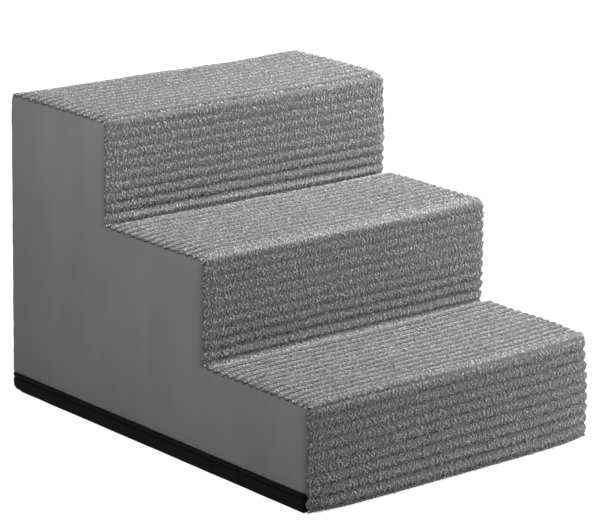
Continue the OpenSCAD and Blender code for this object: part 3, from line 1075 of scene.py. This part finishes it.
def stepped_grid():
    """Spots and cells of a grid that keeps inside the stepped outline."""
    ylines, zlines = grid_lines(step_fronts), grid_lines(step_tops)
    number, cells = {}, []
    for y, next_y in zip(ylines, ylines[1:]):
        step = sum(front < next_y for front in step_fronts[:-1])
        for z, next_z in zip(zlines, zlines[1:]):
            if next_z < step_tops[step] + PANEL_CELL / 100:
                corners = [(y, z), (next_y, z), (next_y, next_z), (y, next_z)]
                cells.append(tuple(number.setdefault(corner, len(number)) for corner in corners))
    return list(number), cells


def nosing_draw(side, y, z):
    """How far the right panel is drawn in with the right corners of the nosings."""
    if side < 0:
        return 0.0
    return sum(
        draw * math.exp(-((y - front) ** 2 + (z - top) ** 2) / FOLD_REACH ** 2)
        for draw, front, top in zip(CORNER_DRAWS, step_fronts, step_tops[1:])
    )


# %% Making the side panels
def side_panel(name, side):
    spots, cells = stepped_grid()

    def outer(y, z):
        distances = seam_distance(y, z), seam_back - y, z - band_top
        height = panel_height((y, z, side), *distances, SIDE_SEAM, SIDE_CORNER)
        drawn = nosing_draw(side, y, z)
        return side * (core_x + max(height - drawn, LEAST_HEIGHT)), y + DRAWN_BACK_SHARE * drawn, z

    def inner(y, z):
        return side * core_x, y + DRAWN_BACK_SHARE * nosing_draw(side, y, z), z

    return shell(name, spots, cells, outer, inner, seam_distance)


side_cut = (step_fronts[-1] - step_fronts[0], step_tops[-1] - step_tops[0])
side_area = sum(
    (far - near) * (top - band_top) for near, far, top in zip(step_fronts, step_fronts[1:], step_tops[1:])
)
for side, node in [(-1, "side_panel_left"), (1, "side_panel_right")]:
    panel = side_panel("suede_" + node, side)
    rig.replaces(panel, node)
    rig.sheet(panel, flat=side_cut, area=side_area, held="stretched", rests_on=FOAM_BLOCKS)


# %% Making the back panel
def back_panel(name):
    xlines = grid_lines([-core_x, core_x])
    zlines = grid_lines([band_top, step_tops[-1]])
    spots = [(x, z) for x in xlines for z in zlines]
    rows = len(zlines)
    cells = [
        (i * rows + j, i * rows + j + 1, (i + 1) * rows + j + 1, (i + 1) * rows + j)
        for i in range(len(xlines) - 1) for j in range(rows - 1)
    ]

    def outer(x, z):
        distances = step_tops[-1] - z, core_x - abs(x), z - band_top
        return x, core_back + panel_height((x, z, 7.0), *distances, BACK_SEAM, BACK_CORNER), z

    def inner(x, z):
        return x, core_back, z

    return shell(name, spots, cells, outer, inner, lambda x, z: step_tops[-1] - z)


panel = back_panel("suede_back_panel")
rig.replaces(panel, "back_panel")
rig.sheet(panel, flat=(2 * core_x, step_tops[-1] - band_top), held="stretched", rests_on=FOAM_BLOCKS)

# %% [markdown]
# ## The black band at the foot
#
# The base cloth turns up all round the back and the sides, and a zipper joins it to the panels. All
# of these follow the same U-shaped way round the foot, so they are made by sweeping a section along
# it. A station of the way is a point at the foam and its outward direction; a section is a ring of
# (distance outwards, height) pairs.

# %% The way round the foot
FOOT_CORNER_R = 1.5 * MM
FOOT_SPACING = 5 * MM
CORNER_STEPS = 6
# How square the corners are: 2 is round, and more is squarer
CORNER_SQUARENESS = 8


def stations(start, end, outward):
    """Evenly spaced stations along a straight stretch, leaving out its end."""
    count = max(1, round((end - start).length / FOOT_SPACING))
    return [(start + (end - start) * i / count, Vector(outward)) for i in range(count)]


def corner_stations(side, first):
    """Stations round a back corner, a quarter turn from the angle first."""
    found = []
    for i in range(CORNER_STEPS):
        turn = first + i / CORNER_STEPS * math.pi / 2
        across, along = -math.cos(turn), math.sin(turn)
        squared = (abs(across) ** CORNER_SQUARENESS + along ** CORNER_SQUARENESS) ** (-1 / CORNER_SQUARENESS)
        centre = Vector((side * (core_x - FOOT_CORNER_R), core_back - FOOT_CORNER_R, 0))
        outward = Vector((across, along, 0))
        found.append((centre + FOOT_CORNER_R * outward, squared * outward))
    return found


def foot_way(left_front, right_front):
    """Stations from the left side's front round the back to the right side's front."""
    middle_x = core_x - FOOT_CORNER_R
    middle_y = core_back - FOOT_CORNER_R
    last = Vector((core_x, right_front, 0))
    return [
        *stations(Vector((-core_x, left_front, 0)), Vector((-core_x, middle_y, 0)), (-1, 0, 0)),
        *corner_stations(-1, 0.0),
        *stations(Vector((-middle_x, core_back, 0)), Vector((middle_x, core_back, 0)), (0, 1, 0)),
        *corner_stations(1, math.pi / 2),
        *stations(Vector((core_x, middle_y, 0)), last, (1, 0, 0)),
        (last, Vector((1, 0, 0))),
    ]


# %% Sweeping a section along it
# On the left and the back the folds close over the zipper; on the right they leave the slider free
OPENING_START = 110 * MM
OPENING_END = 150 * MM
# An open fold rounds the corner by this share more than a closed one
OPEN_ROUNDING_SHARE = 0.8
# At the back corners the cloth is drawn in towards its lower edge
CORNER_DRAW = 2.5 * MM
DRAW_REACH = 6 * MM
DRAW_TOP = 7 * MM
WAVER_SIZE = 16 * MM


def openness(base):
    """0 where the folds lie closed and 1 where they stand open."""
    share = min(max((base.x - OPENING_START) / (OPENING_END - OPENING_START), 0.0), 1.0)
    return share * share * (3 - 2 * share)


def drawn_in(base, high):
    """How far the cloth is drawn in at a height, near a back corner."""
    gap = math.hypot(core_x - abs(base.x), core_back - base.y)
    return CORNER_DRAW * math.exp(-(gap / DRAW_REACH) ** 2) * max(0.0, 1 - high / DRAW_TOP) ** 2


def swept(name, way, closed, opened, material, waver):
    """A strip along the way. Its section is a ring of (outwards, height) pairs in mm, closed or opened."""
    points = []
    most = max(out for out, _ in closed)
    for base, outward in way:
        share = openness(base)
        outward = outward * (1 - OPEN_ROUNDING_SHARE * share * (outward.length - 1))
        shift = waver * noise_at(base, WAVER_SIZE)
        for (out_a, high_a), (out_b, high_b) in zip(closed, opened):
            out = blend(out_a, out_b, share) * MM
            high = blend(high_a, high_b, share) * MM
            out += (shift - drawn_in(base, high)) * max(out / MM, 0.0) / most
            points.append(base + out * outward + Vector((0, 0, high)))
    size = len(closed)
    faces = [
        (r * size + i, r * size + (i + 1) % size, (r + 1) * size + (i + 1) % size, (r + 1) * size + i)
        for r in range(len(way) - 1) for i in range(size)
    ]
    last = (len(way) - 1) * size
    faces += [tuple(range(size)), tuple(last + i for i in range(size))]
    return new_piece(name, points, faces, material)


# %% [markdown]
# ### Base cloth
#
# The base is one thick non-slip cloth. It lies flat under the foam and folds up at its edge into a
# full, soft bead, which is the lowest thing that shows. Rows of small rubber dots underneath keep
# the stairs from sliding. The dots reach down to the floor, a tenth of a millimetre below the cloth.
# The bead is a swept strip, and its innermost side is taken off again and carried across as the
# flat middle.

# %% Base cloth
CLOSED_BEAD = [
    (-4.0, 2.0), (-4.0, 0.1), (0.0, 0.1), (5.2, 0.1), (8.3, 0.1), (8.9, 0.5), (9.0, 3.6), (8.7, 8.6),
    (8.5, 11.8), (7.6, 12.6), (5.2, 12.1), (3.9, 8.6), (3.5, 5.6), (-1.5, 2.0),
]
OPEN_BEAD = [
    (-4.0, 2.0), (-4.0, 0.1), (0.0, 0.1), (2.6, 0.4), (4.6, 1.2), (6.0, 2.2), (6.6, 3.4), (6.3, 4.6),
    (5.0, 5.5), (3.0, 5.8), (1.15, 5.4), (1.1, 4.6), (0.4, 2.6), (-1.5, 2.0),
]
BEAD_WAVER = 0.4 * MM


def base_cloth():
    way = foot_way(core_front, core_front)
    piece = swept("base_cloth", way, CLOSED_BEAD, OPEN_BEAD, black_cloth, BEAD_WAVER)
    work = bmesh.new()
    work.from_mesh(piece.data)
    above, below = (list(work.verts)[start::len(CLOSED_BEAD)] for start in (0, 1))
    inner = {*above, *below}
    inmost = [face for face in work.faces if len(face.verts) == 4 and inner.issuperset(face.verts)]
    bmesh.ops.delete(work, geom=inmost, context="FACES_ONLY")
    for ring in (above, below):
        work.faces.new(ring)
    work.faces.new([above[0], below[0], below[-1], above[-1]])
    bmesh.ops.recalc_face_normals(work, faces=work.faces)
    work.to_mesh(piece.data)
    work.free()
    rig.slot(piece, "base_cloth")
    return piece


base = base_cloth()
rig.replaces(base, "base_panel")

# %% Rubber dots
DOT_MARGIN = 12 * MM
DOT_VALUES = {
    "Width": 2 * (core_x - DOT_MARGIN), "Depth": core_back - core_front - 2 * DOT_MARGIN,
    "Pitch": 9 * MM, "Dot Radius": 1.8 * MM, "Dot Height": 0.8 * MM, "Material": rubber,
}
# What the base cloth's edge takes up, across both sides and behind
TURNED_UP_X = 10 * MM
TURNED_UP_Y = 5 * MM


def dots_tree(values):
    flow, given, close = geometry_tree("rubber_dots", values)
    grid = flow.node("GeometryNodeMeshGrid", {
        "Size X": given["Width"], "Size Y": given["Depth"],
        "Vertices X": given["Width"] / given["Pitch"] + 1, "Vertices Y": given["Depth"] / given["Pitch"] + 1,
    })
    dot = flow.node("GeometryNodeMeshCone", {
        "Vertices": 8, "Side Segments": 1, "Radius Top": given["Dot Radius"] * 0.6,
        "Radius Bottom": given["Dot Radius"], "Depth": given["Dot Height"],
    }, fill_type="NGON")
    down = flow.node("GeometryNodeTransform", {"Geometry": dot, "Rotation": (math.pi, 0, 0)})
    placed = flow.node("GeometryNodeInstanceOnPoints", {"Points": grid, "Instance": down})
    lift = flow.vector(0.0, 0.0, given["Dot Height"])
    return close(flow.node("GeometryNodeTransform", {"Geometry": placed, "Translation": lift}))


dots = grow("rubber_dots", dots_tree(DOT_VALUES), DOT_VALUES)
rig.slot(dots, "base_cloth")
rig.ride(dots, "stairs")
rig.sheet(
    base, flat=(2 * core_x + TURNED_UP_X, core_back - core_front + TURNED_UP_Y), held="stretched",
    rests_on=["floor"], with_pieces=[dots],
)

# %% [markdown]
# ### Zipper tapes and the lip above them
#
# Two woven tapes carry the zipper. The lower one is sewn into the base cloth and the upper one into
# the panels, where its edge is folded into a dark lip that overhangs the teeth a little.

# %% Tapes
LOWER_TAPE = [(0.05, 4.2), (0.05, 9.4), (0.4, 9.5), (0.9, 9.4), (1.0, 9.1), (1.0, 4.2)]
CLOSED_LIP = [
    (0.05, 18.0), (0.05, 11.6), (0.5, 11.5), (1.0, 11.8), (1.05, 14.2), (3.8, 14.2), (5.2, 13.3),
    (7.6, 12.9), (8.5, 13.2), (8.7, 14.4), (8.7, 16.8), (7.9, 17.8), (4.6, 18.0),
]
OPEN_LIP = [
    (0.05, 18.0), (0.05, 11.6), (0.5, 11.5), (1.0, 11.8), (1.05, 14.6), (1.9, 15.1), (3.6, 15.1),
    (5.2, 15.3), (6.2, 15.8), (6.6, 16.5), (6.3, 17.3), (5.0, 17.8), (3.6, 18.0),
]
TAPES = {
    "zipper_tape_lower": (LOWER_TAPE, LOWER_TAPE, 0.0),
    "zipper_tape_upper": (CLOSED_LIP, OPEN_LIP, 0.3 * MM),
}
for node, (closed, opened, waver) in TAPES.items():
    tape = swept("woven_" + node, foot_way(core_front, core_front), closed, opened, tape_weave, waver)
    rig.slot(tape, "zipper_tape")
    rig.replaces(tape, node)

# %% [markdown]
# ### Teeth
#
# A row of teeth is one small bead, set at equal steps along the way round the foot and turned to
# follow it. The two rows are half a step apart, so that they mesh.

# %% Beads along the way round the foot
def beads_tree(values):
    flow, given, close = geometry_tree("beads_round_the_foot", values)
    way = flow.node("GeometryNodeMeshToCurve", {"Mesh": given["Geometry"]})
    steps = flow.node("GeometryNodeCurveToPoints", {"Curve": way, "Length": given["Pitch"]}, mode="LENGTH")
    ball = flow.node("GeometryNodeMeshUVSphere", {"Segments": 8, "Rings": 5, "Radius": 0.5})
    size = flow.vector(given["Length"], given["Depth"], given["Height"])
    bead = flow.node("GeometryNodeTransform", {"Geometry": ball, "Scale": size})
    turned = standing(flow, (0, 0, 1), steps.output("Tangent"))
    sockets = {"Points": steps, "Instance": bead.smooth(), "Rotation": turned}
    return close(flow.node("GeometryNodeInstanceOnPoints", sockets))


def beads(name, tree, ends, out, height, values):
    """A row of beads at a distance from the foam and a height, between two ends in y."""
    points = [base + out * outward + Vector((0, 0, height)) for base, outward in foot_way(*ends)]
    way = bpy.data.meshes.new(name + "_way")
    way.from_pydata(points, [(i, i + 1) for i in range(len(points) - 1)], [])
    piece = grow(name, tree, values, start=way)
    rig.ride(piece, "stairs")
    return piece


# %% Zipper teeth
TOOTH_PITCH = 1.3 * MM
TOOTH = {
    "Pitch": TOOTH_PITCH, "Length": 1.1 * MM, "Depth": 2.3 * MM, "Height": 3.7 * MM, "Material": nylon,
}
CHAIN_OUT = 2.2 * MM
# The shift of each row along the chain, in teeth, and the height of its middle
ROWS = {"zipper_coil_lower": (0.0, 9.4 * MM), "zipper_coil_upper": (0.5, 11.6 * MM)}
tree = beads_tree(TOOTH)
for node, (shift, middle) in ROWS.items():
    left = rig.box(node)[0].y + (0.5 + shift) * TOOTH_PITCH
    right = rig.box("zipper_top_stops")[1].y + (1 - shift) * TOOTH_PITCH
    row = beads(node.replace("coil", "teeth"), tree, (left, right), CHAIN_OUT, middle, TOOTH)
    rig.slot(row, "zipper_teeth")
    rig.replaces(row, node)

# %% [markdown]
# ## Foam
#
# Three slabs of cream foam fill the cover. Nobody sees them, but they carry everything, so they get
# their real size, cut edges that are slightly rounded, and the hollow in the lowest slab that the
# zipper's slider runs along.

# %% Foam blocks
FOAM_EDGE = 2.5 * MM


def box_mesh(name, low, high, edge=0.0):
    """A box between two corners, with edges rounded to a radius."""
    work = bmesh.new()
    bmesh.ops.create_cube(work, size=1.0)
    bmesh.ops.scale(work, vec=high - low, verts=work.verts)
    bmesh.ops.translate(work, vec=(low + high) / 2, verts=work.verts)
    if edge:
        bmesh.ops.bevel(work, geom=work.edges[:], offset=edge, segments=3, profile=0.5, affect="EDGES")
    mesh = bpy.data.meshes.new(name)
    work.to_mesh(mesh)
    work.free()
    return mesh


blocks = []
for name, node in zip(FOAM_BLOCKS, FOAMS):
    block = add_object(name, box_mesh(name, *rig.box(node), FOAM_EDGE))
    block.data.materials.append(foam)
    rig.replaces(block, node)
    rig.slot(block, "foam")
    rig.ride(block, "stairs")
    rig.padded(block, fill=1.0)
    blocks.append(block)

# %% The slider's hollow in the lowest slab
HOLLOW_DEPTH = 1.8 * MM
HOLLOW_PLAY_Y = 0.3 * MM
HOLLOW_PLAY_Z = 0.6 * MM
# How far the cutter reaches out of the slab
CUTTER_REACH = 5 * MM


def cut_hollow(block):
    slider_low, slider_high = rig.box("zipper_slider")
    travel = max(joint["range_m"][1] for joint in frame["joints"] if joint["type"] == "slide")
    far_y = slider_high.y + travel + HOLLOW_PLAY_Y
    low = Vector((core_x - HOLLOW_DEPTH, core_front - CUTTER_REACH, slider_low.z - HOLLOW_PLAY_Z))
    high = Vector((core_x + CUTTER_REACH, far_y, slider_high.z + HOLLOW_PLAY_Z))
    cutter = add_object("hollow", box_mesh("hollow", low, high))
    modifier = block.modifiers.new("hollow", "BOOLEAN")
    modifier.operation = "DIFFERENCE"
    modifier.object = cutter
    apply(block, modifier)
    bpy.data.objects.remove(cutter)
    print("hollow ends at y, mm:", in_mm([high.y]))


cut_hollow(blocks[0])

# %% [markdown]
# ## Slider, pull and stops
#
# The small hard parts are right as they were built, down to the bridge that holds the pull. They keep
# their solids, which also move with their joints, and only get a finish: black enamel on the slider
# and pull, and black nylon on the stops.

# %% Finishes on the hard parts
HARD_PARTS = {
    "zipper_slider": enamel, "zipper_pull": enamel, "zipper_top_stops": nylon, "zipper_bottom_stop": nylon,
}
for node, material in HARD_PARTS.items():
    mesh = frame["nodes"][node].data
    mesh.materials.clear()
    mesh.materials.append(material)

# %% [markdown]
# ## Camera, light and floor
#
# The camera stands where the photograph was taken from, at the left of the front edge and a little
# above. The light is a wide soft box overhead with weaker fills, so that the treads are clearly
# brighter than the risers. The floor is white to the camera only, so that it doesn't flood the risers
# with bounced light, and it keeps the soft shadow.

# %% Camera
FOCAL_LENGTH = 174.6
SENSOR_WIDTH = 36.0
AZIMUTH = math.radians(-40.7)
ELEVATION = math.radians(15.618)
ROLL = math.radians(1.138)
CAMERA_DISTANCE = 2.563027
VIEW_CENTRE_RIGHT = -0.0066
VIEW_CENTRE_UP = 0.220578


def add_camera():
    back = Vector((
        math.sin(AZIMUTH) * math.cos(ELEVATION),
        -math.cos(AZIMUTH) * math.cos(ELEVATION),
        math.sin(ELEVATION),
    ))
    level = Vector((math.cos(AZIMUTH), math.sin(AZIMUTH), 0))
    upward = back.cross(level)
    right = math.cos(ROLL) * level + math.sin(ROLL) * upward
    up = math.cos(ROLL) * upward - math.sin(ROLL) * level
    corner = Vector((cad_low.x, cad_low.y, 0))
    place = corner + VIEW_CENTRE_RIGHT * right + VIEW_CENTRE_UP * up + CAMERA_DISTANCE * back
    camera = add_object("camera", bpy.data.cameras.new("camera"))
    camera.data.lens = FOCAL_LENGTH
    camera.data.sensor_width = SENSOR_WIDTH
    camera.matrix_world = Matrix.Translation(place) @ Matrix((right, up, back)).transposed().to_4x4()
    scene.camera = camera
    print("camera at", [round(v, 3) for v in place])


add_camera()

# %% World and floor
scene.view_settings.view_transform = "Standard"
WORLD_STRENGTH = 0.15
WHITE = (1, 1, 1, 1)
FLOOR_SIZE = 30.0
FLOOR_GREY = 0.3
FLOOR_GREY_SEEN = 0.8
# The floor glows weaker near the stairs, between these distances from their middle
GLOW_NEAR_SHARE = 0.65
GLOW_SPAN = (0.5, 1.6)


def white_to_the_eye(flow):
    """1 for rays that show the background, seen directly or in a reflection."""
    rays = flow.node("ShaderNodeLightPath")
    seen = rays.output("Is Camera Ray") + rays.output("Is Glossy Ray") + rays.output("Is Transmission Ray")
    return seen.clamp()


def add_world():
    world = bpy.data.worlds.new("studio")
    flow = empty_tree(world)
    strength = blend(WORLD_STRENGTH, 1, white_to_the_eye(flow))
    light = flow.node("ShaderNodeBackground", {"Color": WHITE, "Strength": strength})
    flow.node("ShaderNodeOutputWorld", {"Surface": light})
    scene.world = world


def floor_material():
    material = bpy.data.materials.new("studio_floor")
    flow = empty_tree(material)
    eye = white_to_the_eye(flow)
    grey = blend(FLOOR_GREY, FLOOR_GREY_SEEN, eye)
    color = flow.node("ShaderNodeCombineColor", {0: grey, 1: grey, 2: grey})
    matte = flow.node("ShaderNodeBsdfDiffuse", {"Color": color})
    place = flow.node("ShaderNodeTexCoord").output("Object")
    away = flow.node("ShaderNodeVectorMath", {0: place}, out="Value", operation="LENGTH")
    strength = blend(GLOW_NEAR_SHARE, 1, away.ramp(*GLOW_SPAN)) * eye
    glow = flow.node("ShaderNodeEmission", {"Color": WHITE, "Strength": strength})
    both = flow.node("ShaderNodeAddShader", {0: matte, 1: glow})
    flow.node("ShaderNodeOutputMaterial", {"Surface": both})
    return material


def add_floor():
    half = FLOOR_SIZE / 2
    mesh = bpy.data.meshes.new("floor")
    corners = [(-half, -half, 0), (half, -half, 0), (half, half, 0), (-half, half, 0)]
    mesh.from_pydata(corners, [], [(0, 1, 2, 3)])
    mesh.materials.append(floor_material())
    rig.stage(add_object("floor", mesh))


add_world()
add_floor()

# %% Lights
# Per lamp: place, the point it is turned to, size and power
LAMPS = {
    "overhead_box": ((0.65, -0.08, 0.87), (0, 0, 0.1), 0.6, 18.5),
    "left_fill": ((-0.6, -0.08, 0.72), (-0.17, 0, 0.2), 0.4, 3.8),
    "right_fill": ((0.5, -0.8, 0.45), (0, -0.2, 0.1), 0.4, 6.3),
}
for name, (place, target, size, power) in LAMPS.items():
    lamp = bpy.data.lights.new(name, "AREA")
    lamp.shape = "SQUARE"
    lamp.size = size
    lamp.energy = power
    holder = add_object(name, lamp)
    holder.location = place
    holder.rotation_euler = (Vector(target) - Vector(place)).to_track_quat("-Z", "Y").to_euler()

# %% Extents of the visual model
low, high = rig.bounds()
sizes = {"cad": [list(cad_low), list(cad_high)], "visual": [list(low), list(high)]}
with open("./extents.json", "w") as file:
    json.dump(sizes, file)
print("visual model, mm:", in_mm(low), in_mm(high))
